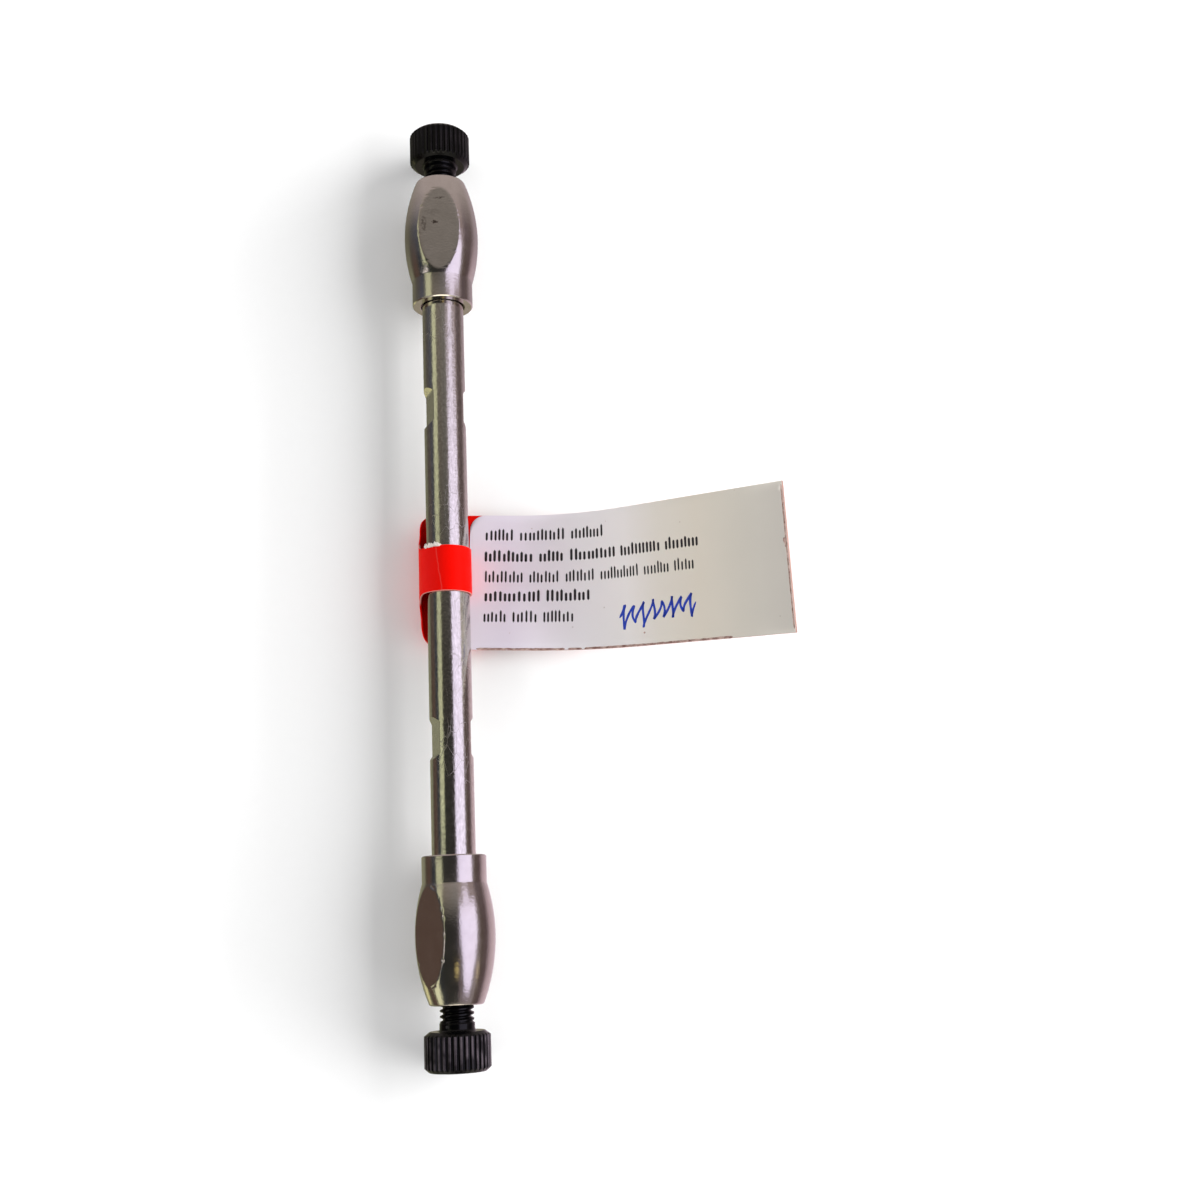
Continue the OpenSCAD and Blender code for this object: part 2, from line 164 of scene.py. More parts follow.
def ring_skin(rings, endless=False):
    """Quads between rings of equally many points; an endless skin joins the last ring to the first."""
    count = len(rings[0])
    points = [p for ring in rings for p in ring]
    faces = []
    for i in range(len(rings) if endless else len(rings) - 1):
        a, b = i * count, (i + 1) % len(rings) * count
        for j in range(count):
            k = (j + 1) % count
            faces.append((a + j, a + k, b + k, b + j))
    if not endless:
        faces.append(tuple(range(count - 1, -1, -1)))
        faces.append(tuple(range((len(rings) - 1) * count, len(rings) * count)))
    return points, faces


def join_skins(skins):
    """One list of points and faces out of several."""
    points, faces = [], []
    for more, its_faces in skins:
        start = len(points)
        points += more
        faces += [tuple(start + i for i in face) for face in its_faces]
    return points, faces


def soft_min(a, b, ease):
    """The smaller of two, rounded over where they cross."""
    near = max(ease - abs(a - b), 0.0)
    return min(a, b) - near * near / (4 * ease)


def soft_outline(corners, steps=5):
    """A closed half outline whose corners (radius, place, ease) are rounded by their ease."""
    outline = []
    count = len(corners)
    for i, (r, z, ease) in enumerate(corners):
        corner = Vector((r, z))
        if not ease:
            outline.append((r, z))
            continue
        back = Vector(corners[i - 1][:2]) - corner
        ahead = Vector(corners[(i + 1) % count][:2]) - corner
        half = back.angle(ahead) / 2
        reach = min(ease / tan(half), 0.42 * back.length, 0.42 * ahead.length)
        back.normalize()
        ahead.normalize()
        radius = reach * tan(half)
        mid = corner + (back + ahead).normalized() * radius / sin(half)
        start, end = corner + back * reach - mid, corner + ahead * reach - mid
        swing = start.angle_signed(end)
        outline.append(tuple(corner + back * reach * 1.3))
        for step in range(steps + 1):
            outline.append(tuple(mid + Matrix.Rotation(-swing * step / steps, 2) @ start))
        outline.append(tuple(corner + ahead * reach * 1.3))
    return outline


def round_axis(y, r, bearing, turn):
    """A point off the column's axis; its bearing starts turn degrees round from straight up."""
    around = bearing - radians(turn)
    return Vector((r * sin(around), y, r * cos(around)))


def flat_bearings(edge, ease=0.016, inside=9, outside=22):
    """Bearings round the axis that follow the edges of two opposite flats, edge radians off their middle."""
    edge = max(edge, 0.05)
    ease = min(ease, edge / 3)
    quarter = [(edge - ease) * k / inside for k in range(inside + 1)]
    quarter += [edge - ease / 2, edge, edge + ease / 2]
    quarter += [edge + ease + (pi / 2 - edge - ease) * k / outside for k in range(outside + 1)]
    whole = quarter + [pi - b for b in quarter[-2::-1]]
    return whole + [pi + b for b in whole[1:-1]]


# ---------------------------------------------------------------- tube and end fittings

def tube_flat_height(y):
    """Height of the cut above the axis: level in the flat, then up a 45 degree run-out."""
    away = min(abs(y - TUBE_FLAT_MID), abs(y + TUBE_FLAT_MID)) - TUBE_FLAT_HALF
    return TUBE_FLAT_LOW + (-soft_min(-away, 0.0, 0.12) if away > -0.3 else 0.0)


def tube_rings():
    rows = [side * TUBE_FLAT_MID + away for side in (-1, 1) for away in (-0.6, 0, 0.6)]
    rows += [y for y in range(-48, 49, 2) if abs(abs(y) - TUBE_FLAT_MID) > 4]
    # close rows where the flats run out
    run_out = (-1.4, -0.9, -0.5, -0.25, -0.1, 0, 0.1, 0.2, 0.32, 0.45,
               0.58, 0.7, 0.76, 0.8, 0.825, 0.85, 0.9, 1.1)
    for side in (-1, 1):
        for end in (-1, 1):
            rows += [side * TUBE_FLAT_MID + end * (TUBE_FLAT_HALF + away) for away in run_out]
    outline = [(TUBE_R - TUBE_END_CHAMFER, -TUBE_END), (TUBE_R, -TUBE_END + TUBE_END_CHAMFER)]
    outline += [(TUBE_R, y) for y in sorted(rows)]
    outline += [(TUBE_R, TUBE_END - TUBE_END_CHAMFER), (TUBE_R - TUBE_END_CHAMFER, TUBE_END),
                (TUBE_BORE_R, TUBE_END), (TUBE_BORE_R, -TUBE_END)]
    rings = []
    for r, y in outline:
        low = tube_flat_height(y)
        ring = []
        for b in flat_bearings(acos(min(low / TUBE_R, 1)), 0.02, 8, 14):
            reach = soft_min(r, low / max(abs(cos(b)), 0.01), 0.03) if r > 3 else r
            ring.append(round_axis(y, reach, b, TUBE_FLAT_TURN))
        rings.append(ring)
    return rings


def barrel_r(z):
    """Radius of the barrel's swelling outline."""
    return BARREL_R - BARREL_ARC_R + sqrt(BARREL_ARC_R ** 2 - (z - SWELL_AT) ** 2)


def barrel_rows():
    """Places along the barrel: an even run, and closer ones where the flats fade out."""
    reach = BARREL_ARC_R - BARREL_R
    fade = []
    for degrees in range(34):
        drop = BARREL_FLAT_LOW / cos(radians(degrees)) + reach
        away = sqrt(BARREL_ARC_R ** 2 - drop ** 2)
        fade += [SWELL_AT - away, SWELL_AT + away]
    even = [COLLAR_TOP + 0.05 + 0.25 * k for k in range(66)]
    rows = sorted(z for z in fade + even if COLLAR_TOP < z < PORT_FACE - BARREL_ROUND - 0.1)
    return [z for i, z in enumerate(rows) if i == 0 or z - rows[i - 1] > 0.015]


def fitting_outline():
    round_z = PORT_FACE - BARREL_ROUND
    inner_arc = BARREL_ARC_R - BARREL_ROUND
    round_x = BARREL_R - BARREL_ARC_R + sqrt(inner_arc ** 2 - (round_z - SWELL_AT) ** 2)
    lean = asin((round_z - SWELL_AT) / inner_arc)
    corners = [(MOUTH_R, COLLAR_FACE, 0.06), (COLLAR_R - COLLAR_CHAMFER, COLLAR_FACE, 0.05),
               (COLLAR_R, COLLAR_FACE + COLLAR_CHAMFER, 0.05), (COLLAR_R, COLLAR_TOP - 0.02, 0)]
    corners += [(barrel_r(z), z, 0) for z in barrel_rows()]
    for step in range(9):
        a = lean + (pi / 2 - lean) * step / 8
        corners.append((round_x + BARREL_ROUND * cos(a), round_z + BARREL_ROUND * sin(a), 0))
    corners += [(PORT_R + PORT_CHAMFER, PORT_FACE, 0.03), (PORT_R, PORT_FACE - PORT_CHAMFER, 0)]
    corners += [(PORT_R, PORT_FACE - PORT_CHAMFER - 0.06 * k, 0) for k in range(1, 88)]
    corners += [(CONE_R, CONE_START, 0), (PILOT_R, PILOT_START, 0), (PILOT_R, PILOT_END, 0),
                (PASSAGE_R, PILOT_END, 0), (PASSAGE_R, FRIT_SEAT, 0), (GRIP_R, FRIT_SEAT, 0),
                (GRIP_R, COLLAR_FACE + MOUTH_DEPTH, 0), (MOUTH_R, COLLAR_FACE + MOUTH_DEPTH, 0)]
    return soft_outline(corners)


def port_groove(bearing, y):
    """Depth of the port's thread groove, which is cut outwards from the port's wall."""
    turn = (y / THREAD_PITCH - bearing / tau) % 1.0
    return PORT_GROOVE * max(0.0, 1 - abs(turn - 0.5) / 0.34)


def edge_nick(off, bearing, y):
    """Small dents along a flat's edge, where wrenches have bruised it; off is the distance from the edge."""
    bruise = noise.noise(Vector((cos(bearing) * 3, y * 2.1, sin(bearing) * 3))) - 0.12
    return 0.16 * max(bruise, 0.0) * max(0.0, 1 - off / 0.1)


def fitting_rings(side, turn):
    """An end fitting; side is 1 for the inlet and -1 for the outlet."""
    rings = []
    for r, z in fitting_outline():
        edge = acos(min(BARREL_FLAT_LOW / r, 1)) if r > BARREL_FLAT_LOW else 0
        in_thread = abs(r - PORT_R) < 1e-6 and CONE_START + 0.3 < z < PORT_FACE - PORT_CHAMFER - 0.05
        ring = []
        for b in flat_bearings(edge):
            reach = r
            if r > 4.6:
                flat = BARREL_FLAT_LOW / max(abs(cos(b)), 0.01)
                reach = soft_min(r, flat, 0.11) - edge_nick(abs(r - flat), b, side * z)
            if in_thread:
                reach += port_groove(b, side * z)
            ring.append(round_axis(side * z, reach, b, turn))
        rings.append(ring)
    return rings


# ---------------------------------------------------------------- plugs

def ridge_r(bearing):
    """Radius over the knurl of a plug's head, with the moulded ridges' rounded crests."""
    off = abs((bearing / tau * RIDGES + 0.5) % 1.0 - 0.5)
    slope = (off - RIDGE_CREST / 2) / (0.5 - RIDGE_VALLEY / 2 - RIDGE_CREST / 2)
    slope = min(max(slope, 0.0), 1.0)
    crown = RIDGE_CROWN * min(off / (RIDGE_CREST / 2), 1.0) ** 2
    return HEAD_R - crown - (RIDGE_DEPTH - RIDGE_CROWN) * slope * slope * (3 - 2 * slope)


def head_rings(side, head_at, turn):
    """The knurled head, from the ring round its neck to the dished outer end."""
    in_len, in_wide = INNER_CHAMFER
    out_len, out_wide = OUTER_CHAMFER
    in_r, out_r = HEAD_R - in_wide, HEAD_R - out_wide
    in_slope = (in_wide - RIDGE_DEPTH / 2) / in_len
    rows = [(2.2, 0.02), (2.6, 0.004), (3.2, 0), (3.6, 0),
            (in_r - 0.08, 0), (in_r - 0.03, 0.004), (in_r, 0.015)]
    rows += [(HEAD_R, z) for z in
             (0.04, 0.08, 0.16, 0.26, 0.36, 0.42, 0.46, 0.5, 0.54, 0.58, 0.64, 0.75, 1.0, 1.5, 2.2, 3.0,
              3.8, 4.3, 4.6, 4.72, 4.8, 4.86, 4.9, 4.95, 5.02, 5.12, 5.25, 5.36, 5.42)]
    rows += [(out_r + 0.035, 5.455), (out_r, 5.482), (out_r - 0.04, 5.495), (out_r - 0.1, HEAD_LEN)]
    # the dish in the outer end, and the moulding's gate mark at its middle
    rows += [(3.45, HEAD_LEN), (3.38, 5.49), (3.3, 5.45), (3.22, 5.41), (3.1, 5.395), (2.0, 5.39),
             (0.75, 5.39), (0.66, 5.4), (0.6, 5.43), (0.5, 5.445), (0.3, 5.45), (0.05, 5.45)]
    rings = []
    for limit, z in rows:
        ring = []
        for k in range(RIDGES * RIDGE_COLUMNS):
            b = tau * k / (RIDGES * RIDGE_COLUMNS)
            r = limit
            if limit == HEAD_R:
                r = ridge_r(b)
                r = soft_min(r, in_r + z * in_slope, 0.05)
                r = soft_min(r, out_r + (HEAD_LEN - z) * out_wide / out_len, 0.05)
            elif limit > 4:
                r = min(limit, ridge_r(b))
            ring.append(round_axis(side * (head_at + z), r, b, turn))
        rings.append(ring)
    return rings


def thread_cut(bearing, y):
    """Depth of the plug's thread groove: a crest, a flank, a narrow root and a flank for each turn."""
    turn = abs((y / THREAD_PITCH - bearing / tau) % 1.0 - 0.5) * THREAD_PITCH
    flank = THREAD_DEPTH * tan(radians(30))
    root = (THREAD_PITCH - THREAD_CREST) / 2 - flank
    cut = min(max((root + flank - turn) / flank, 0.0), 1.0)
    return THREAD_DEPTH * cut * cut * (3 - 2 * cut)


def shank_rings(side, head_at):
    """Neck with its fillet, thread and nose cone."""
    rows = [(NECK_R, 0.3, 0)]
    for step in range(7):
        a = pi / 2 * step / 6
        rows.append((NECK_R + NECK_FILLET * (1 - sin(a)), -NECK_FILLET * (1 - cos(a)), 0))
    rows += [(NECK_R, z, 0) for z in (-0.5, -0.8, -0.98)]
    rows += [(NECK_R - 0.01, -1.04, 0), (NECK_R - 0.04, -1.08, 0), (SHANK_R, -NECK_LEN, 0)]
    z = -NECK_LEN - 0.05
    while z > THREAD_END + 0.08:
        rows.append((SHANK_R, z, min(1.0, (-NECK_LEN - z) / 0.35, (z - THREAD_END) / 0.5)))
        z -= 0.055
    rows += [(SHANK_R - 0.1, THREAD_END + 0.05, 0), (SHANK_R - 0.25, THREAD_END, 0),
             (NOSE_R + 0.02, THREAD_END, 0), (NOSE_R, THREAD_END - 0.03, 0), (NOSE_R, NOSE_CONE + 0.05, 0),
             (NOSE_R - 0.02, NOSE_CONE - 0.03, 0), (NOSE_TIP_R + 0.06, NOSE_TIP + 0.1, 0),
             (NOSE_TIP_R + 0.02, NOSE_TIP + 0.03, 0), (NOSE_TIP_R - 0.05, NOSE_TIP, 0), (0.3, NOSE_TIP, 0)]
    rings = []
    for limit, z, grown in rows:
        ring = []
        for k in range(SHANK_COLUMNS):
            b = tau * k / SHANK_COLUMNS
            y = side * (head_at + z)
            r = limit - (grown * thread_cut(b, y) if grown > 0 else 0)
            ring.append(round_axis(y, r, b, 0))
        rings.append(ring)
    return rings


# ---------------------------------------------------------------- tag and label

PATH_MID = (STRAP_PATH_R - SLACK_R) * Vector((cos(STRAP_LIFT_AT), sin(STRAP_LIFT_AT)))
TUCK_AT = pi - asin((BODY_Z + TUCK_R - PATH_MID.y) / (SLACK_R - TUCK_R))
TUCK_MID = PATH_MID + (SLACK_R - TUCK_R) * Vector((cos(TUCK_AT), sin(TUCK_AT)))
PATH_TUCK = -TUCK_MID.x
PATH_SLACK = PATH_TUCK + TUCK_R * (1.5 * pi - TUCK_AT)
PATH_STRAP = PATH_SLACK + SLACK_R * (TUCK_AT - STRAP_LIFT_AT)
PATH_END = PATH_STRAP + STRAP_PATH_R * (STRAP_LIFT_AT + STRAP_END_AT)


def on_arc(mid, r, angle):
    return mid[0] + r * cos(angle), mid[1] + r * sin(angle), angle + pi / 2


def loop_at(back):
    """(x, z, heading) on the film's middle, back along its path from under the column axis."""
    if back <= PATH_TUCK:
        return -back, BODY_Z, 0.0
    if back <= PATH_SLACK:
        return on_arc(TUCK_MID, TUCK_R, 1.5 * pi - (back - PATH_TUCK) / TUCK_R)
    if back <= PATH_STRAP:
        return on_arc(PATH_MID, SLACK_R, TUCK_AT - (back - PATH_SLACK) / SLACK_R)
    return on_arc((0, 0), STRAP_PATH_R, STRAP_LIFT_AT - (back - PATH_STRAP) / STRAP_PATH_R)


def body_edge_y(x, edge):
    return TAG_MID_Y + x * tan(TAG_SKEW) + edge / cos(TAG_SKEW)


def strap_edge_y(back, edge):
    return STRAP_MID_Y - STRAP_DRIFT * (back - SHOULDER_START - SHOULDER_LEN) + edge


def loop_station(back, mix):
    """A line across the film: its two edge points and the film's upper normal."""
    x, z, heading = loop_at(back)
    high = (1 - mix) * body_edge_y(-back, TAG_W / 2) + mix * strap_edge_y(back, STRAP_W / 2)
    low = (1 - mix) * body_edge_y(-back, -TAG_W / 2) + mix * strap_edge_y(back, -STRAP_W / 2)
    return Vector((x, high, z)), Vector((x, low, z)), Vector((-sin(heading), 0, cos(heading)))


def body_bend(along, across):
    """Bend of the curl at a spot of the flat film, in radians, and its distance over the curl."""
    n = along * cos(CURL_TURN) + across * sin(CURL_TURN)
    return max(0.0, min(CURL_ANGLE, (n - CURL_START) / CURL_R)), n


def body_spot(along, across, lift=0.0):
    """Where a spot of the flat tag lies once the tag is curled; lift is measured off the film's middle."""
    bent, n = body_bend(along, across)
    g = across * cos(CURL_TURN) - along * sin(CURL_TURN)
    straight = max(0.0, n - CURL_START - CURL_R * CURL_ANGLE)
    reach = min(n, CURL_START) + CURL_R * sin(bent) + straight * cos(CURL_ANGLE)
    rise = CURL_R * (1 - cos(bent)) + straight * sin(CURL_ANGLE)
    turn = TAG_SKEW + CURL_TURN
    spot = Vector((reach * cos(turn) - g * sin(turn),
                   TAG_MID_Y + reach * sin(turn) + g * cos(turn), BODY_Z + rise))
    normal = Vector((-sin(bent) * cos(turn), -sin(bent) * sin(turn), cos(bent)))
    return spot + lift * normal


def curl_along(n, across):
    return (n - across * sin(CURL_TURN)) / cos(CURL_TURN)


def film_ring(spot, below, above, ease):
    """One closed ring round a film.
    spot(share, lift) is a point on it, from share 0 at one edge to share 1 at the other."""
    shares = [ease] + [k / FILM_COLUMNS for k in range(1, FILM_COLUMNS)] + [1 - ease]
    upper, lower = above + (below - above) * 0.3, above + (below - above) * 0.7
    return ([spot(share, above) for share in shares] + [spot(1, upper), spot(1, lower)]
            + [spot(share, below) for share in reversed(shares)] + [spot(0, lower), spot(0, upper)])


def body_ring(along_high, along_low, high, below, above):
    """A ring on the tag's body, from an upper edge to the body's own lower edge."""
    def spot(share, lift):
        along = along_high + (along_low - along_high) * share
        return body_spot(along, high - (high + TAG_W / 2) * share, lift)
    return film_ring(spot, below, above, 0.002)


def loop_ring(back, mix, ease):
    """A ring on the strap or the shoulders; mix is 0 where the body's edges hold, and 1 on the strap."""
    high, low, normal = loop_station(back, mix)
    return film_ring(lambda share, lift: high.lerp(low, share) + normal * lift, -FILM / 2, FILM / 2, ease)


def shoulder_back(turn):
    sine = sin(turn)
    return SHOULDER_START + SHOULDER_LEN / 2 * (sine if turn < pi / 2 else 2 - sine)


def end_along(across):
    return TAG_LEN + across * tan(END_SLANT)


def curl_rings(below, above):
    """Rings over the curl and the straight free end, for the film and for its label."""
    sides = (TAG_W / 2, -TAG_W / 2)
    ends = []
    for step in range(61):
        n = CURL_START + CURL_R * CURL_ANGLE * step / 60
        ends.append([curl_along(n, side) for side in sides])
    for share in (0.5, 1.0):
        ends.append([curl_along(n, side) * (1 - share) + end_along(side) * share for side in sides])
    return [body_ring(along_high, along_low, TAG_W / 2, below, above) for along_high, along_low in ends]


def tag_rings():
    """The film from the strap's end round the tube, over the shoulders and along the body."""
    strap_from = SHOULDER_START + SHOULDER_LEN
    rings = [loop_ring(PATH_END + (strap_from - PATH_END) * step / 120, 1, 0.006) for step in range(120)]
    for degrees in range(180, -1, -3):
        turn = radians(degrees)
        rings.append(loop_ring(shoulder_back(turn), (1 - cos(turn)) / 2, 0.003))
    return rings + curl_rings(-FILM / 2, FILM / 2)


def label_rings():
    """The paper label, with its one round corner."""
    below = FILM / 2 + LABEL_GLUE
    above = below + LABEL_THICK
    rings = []
    for degrees in range(0, 91, 3):
        turn = radians(degrees)
        along = LABEL_START + LABEL_CORNER_R * (1 - cos(turn))
        high = TAG_W / 2 - LABEL_CORNER_R * (1 - sin(turn))
        rings.append(body_ring(along, along, high, below, above))
    return rings + curl_rings(below, above)


INK_LOW = FILM / 2 + LABEL_GLUE + LABEL_THICK - 0.01
INK_HIGH = INK_LOW + 0.014


def mark_ring(one, other):
    """The section of a thin mark on the label, between two (along, across) places."""
    return [body_spot(*one, INK_HIGH), body_spot(*other, INK_HIGH),
            body_spot(*other, INK_LOW), body_spot(*one, INK_LOW)]


def ink_bar(start, end, across, tall):
    """A plain printed bar on the label, cut into short lengths so that it follows the curl."""
    count = max(2, int((end - start) / 0.8))
    rings = []
    for k in range(count + 1):
        along = start + (end - start) * k / count
        half = tall / 2 * (0.72 if k in (0, count) else 1.0)
        rings.append(mark_ring((along, across + half), (along, across - half)))
    return ring_skin(rings)


def label_print():
    """Five rows of plain upright ticks, in groups as long as the words of a printed label would be."""
    rows = ((7.43, 5.3, 24.3, 0.33), (4.1, 5.2, 41.6, 0.4), (0.85, 5.3, 40.9, 0.3), (-2.1, 5.3, 22.1, 0.4),
            (-5.3, 5.2, 19.4, 0.31))
    half_row, shortest_word, word_gap = 0.97, 2.0, 0.8
    marks = []
    for middle, start, end, thick in rows:
        foot = middle - half_row
        along = start
        while along < end - 0.3:
            word_end = min(along + chance.uniform(2.6, 8.4), end)
            if end - word_end < shortest_word:
                word_end = end
            while along < word_end - 0.25:
                tall = chance.choice((1.95, 1.38, 1.38, 1.7))
                marks.append(ink_bar(along, along + thick, foot + tall / 2, tall))
                along += thick + chance.choice((0.26, 0.31, 0.38))
            along += word_gap
    return join_skins(marks)


def ribbon(path, wide):
    """A flat stroke along a path of (along, across) places, thinner at its ends."""
    rings = []
    for k, (along, across) in enumerate(path):
        before, after = path[max(k - 1, 0)], path[min(k + 1, len(path) - 1)]
        way = Vector((after[0] - before[0], after[1] - before[1])).normalized()
        half = wide / 2 * (1 if 0 < k < len(path) - 1 else 0.4)
        half *= 1 + 0.25 * noise.noise(Vector((along, across, 3)))
        off = Vector((-way.y, way.x)) * half
        rings.append(mark_ring((along + off.x, across + off.y), (along - off.x, across - off.y)))
    return ring_skin(rings)


def pen_line():
    """A slanted zigzag pen stroke of uneven height, which stands for the handwriting."""
    start_along, start_across, length, climb, slant = 26.6, -6.1, 14.2, 1.3, 0.3
    path = []
    for k in range(241):
        t = k / 240
        tall = 1.45 + 0.95 * noise.noise(Vector((t * 5.3, 2, 7))) + 0.5 * sin(t * 21)
        up = tall * sin(t * 50 + 0.6 * sin(t * 9))
        along = start_along + length * t + slant * up + 0.2 * sin(t * 100)
        path.append((along, start_across + climb * t + up))
    return ribbon(path, 0.42)


def edge_grime():
    """Thin ragged dirt along the label's lower edge and its free end, a chip of film there, and specks."""
    half = TAG_W / 2
    marks = []
    for start, end, wide in ((4.2, 17.6, 0.32), (18.1, 20.3, 0.28), (20.7, 46.8, 0.32)):
        count = int((end - start) / 0.3)
        path = []
        for k in range(count + 1):
            ragged = 0.05 * noise.noise(Vector((k * 0.7, start, 1)))
            path.append((start + (end - start) * k / count, 0.16 - half + ragged))
        marks.append(ribbon(path, wide))
    free_end = []
    for k in range(61):
        across = (half - 0.5) * (1 - 2 * k / 60)
        free_end.append((end_along(across) - 0.16 - 0.05 * noise.noise(Vector((k * 0.7, 5, 1))), across))
    marks.append(ribbon(free_end, 0.22))
    chip = [(end_along(2.6 - 0.1 * k) - 0.3 - 0.12 * sin(k * 0.5), 2.6 - 0.1 * k) for k in range(14)]
    marks.append(ribbon(chip, 0.42))
    specks = ((31.0, -8.6, 0.36), (12.4, 8.4, 0.16), (24.6, 8.7, 0.14), (38.5, 6.9, 0.13), (9.2, -7.9, 0.12))
    for along, across, size in specks:
        half = size / 2
        marks.append(ribbon([(along - half, across), (along, across + 0.03), (along + half, across)], size))
    return join_skins(marks)


def strap_spot(back, across, lift):
    """A spot on the outside of the strap; across is measured from its middle line."""
    x, z, heading = loop_at(back)
    out = Vector((sin(heading), 0, -cos(heading)))
    return Vector((x, strap_edge_y(back, across), z)) + out * (FILM / 2 + lift)


def torn_paper():
    """The ragged strip of white paper that is left on the strap's upper edge."""
    start, length, count = 8.9, 3.2, 44
    rings = []
    for k in range(count + 1):
        back = start + length * k / count
        fade = min(1.0, k / 5, (count - k) / 6)
        ragged = noise.noise(Vector((back * 3.1, 0, 0))) + 0.5 * noise.noise(Vector((back * 9, 4, 0)))
        top = STRAP_W / 2 + (0.34 + 0.3 * ragged) * fade
        foot = STRAP_W / 2 - (0.22 + 0.2 * noise.noise(Vector((back * 4.3, 9, 0)))) * fade
        curl = 0.16 + 0.1 * ragged
        rings.append([strap_spot(back, top, curl * fade + 0.05), strap_spot(back, foot, 0.05),
                      strap_spot(back, foot, 0.0), strap_spot(back, top, curl * fade)])
    return ring_skin(rings)


# ---------------------------------------------------------------- finishes

def linear(hex_colour):
    """An sRGB hex colour as linear RGBA."""
    parts = [int(hex_colour[i:i + 2], 16) / 255 for i in (1, 3, 5)]
    return tuple(c / 12.92 if c <= 0.04045 else ((c + 0.055) / 1.055) ** 2.4 for c in parts) + (1.0,)


def add(tree, kind, feeds=None, **settings):
    """Adds one shader node with its settings.
    Each of its sockets is fed by a value, a hex colour, another node's output, or the node that has it."""
    made = tree.nodes.new("ShaderNode" + kind)
    for name, value in settings.items():
        setattr(made, name, value)
    for socket, value in (feeds or {}).items():
        if isinstance(value, bpy.types.Node):
            value = next(output for output in value.outputs if output.enabled)
        if isinstance(value, bpy.types.NodeSocket):
            tree.links.new(value, made.inputs[socket])
        else:
            made.inputs[socket].default_value = linear(value) if isinstance(value, str) else value
    return made


def set_stops(ramp, stops):
    """Gives a colour ramp its stops, from share 0 to share 1, each with a hex colour."""
    colours = ramp.color_ramp.elements
    colours[0].color, colours[1].color = linear(stops[0][1]), linear(stops[-1][1])
    for share, colour in stops[1:-1]:
        colours.new(share).color = linear(colour)


def new_finish(name):
    """An empty material, its node tree, and the piece's own coordinates in millimetres."""
    finish = bpy.data.materials.new(name)
    finish.use_nodes = True
    tree = finish.node_tree
    tree.nodes.clear()
    place = add(tree, "TexCoord").outputs["Object"]
    mm = add(tree, "VectorMath", {0: place, 1: (1000, 1000, 1000)}, operation="MULTIPLY")
    return finish, tree, mm


def finish_with(finish, shader):
    add(finish.node_tree, "OutputMaterial", {"Surface": shader})
    return finish


def ground_tube_steel():
    # 316 stainless tube, centreless ground: bright, with a mottled lengthwise grain that frays reflections
    finish, tree, mm = new_finish("ground_stainless_tube")
    # real grain is about 0.05 mm wide, too fine to show; drawn 0.3 mm wide and 0.9 mm long
    grain_at = add(tree, "VectorMath", {0: mm, 1: (3.2, 1.1, 3.2)}, operation="MULTIPLY")
    grain = add(tree, "TexNoise", {"Vector": grain_at, "Scale": 1.0, "Detail": 1.0, "Roughness": 0.5})
    speck = add(tree, "TexNoise", {"Vector": mm, "Scale": 2.6, "Detail": 1.0, "Roughness": 0.6})
    rough = add(tree, "MapRange", {
        "Value": speck, "From Min": 0.3, "From Max": 0.7, "To Min": 0.12, "To Max": 0.2})
    height = add(tree, "Mix", {0: 0.5, 2: grain, 3: speck}, data_type="FLOAT")
    bump = add(tree, "Bump", {"Height": height, "Strength": 0.8, "Distance": 0.000022})
    metal = add(tree, "Mix", {0: grain, 6: "#b4afa9", 7: "#e2ded8"}, data_type="RGBA")
    # short handling scratches that catch the light, under 0.1 mm wide
    scrape_at = add(tree, "VectorMath", {0: mm, 1: (0.9, 0.34, 0.9)}, operation="MULTIPLY")
    scrape = add(tree, "TexVoronoi", {"Vector": scrape_at, "Scale": 1.0}, feature="DISTANCE_TO_EDGE")
    patch = add(tree, "TexNoise", {"Vector": mm, "Scale": 0.13, "Detail": 1.0})
    where = add(tree, "MapRange", {"Value": patch, "From Min": 0.55, "From Max": 0.62, "To Max": 0.5})
    line = add(tree, "MapRange", {"Value": scrape, "From Min": 0.035, "From Max": 0.015})
    scratch = add(tree, "Math", {0: where, 1: line}, operation="MULTIPLY")
    rough = add(tree, "Mix", {0: scratch, 2: rough, 3: 0.6}, data_type="FLOAT")
    return finish_with(finish, add(tree, "BsdfPrincipled", {
        "Base Color": metal, "Metallic": 1.0, "Roughness": rough, "Normal": bump}))


def stain(tree, spot, middle, half_size):
    """A ragged patch round a place on the surface, in mm: 1 inside, 0 outside."""
    off = add(tree, "VectorMath", {0: spot, 1: middle}, operation="SUBTRACT")
    share = add(tree, "VectorMath", {0: off, 1: half_size}, operation="DIVIDE")
    far = add(tree, "VectorMath", {0: share}, operation="LENGTH")
    return add(tree, "MapRange", {"Value": far, "From Min": 1.1, "From Max": 0.7})


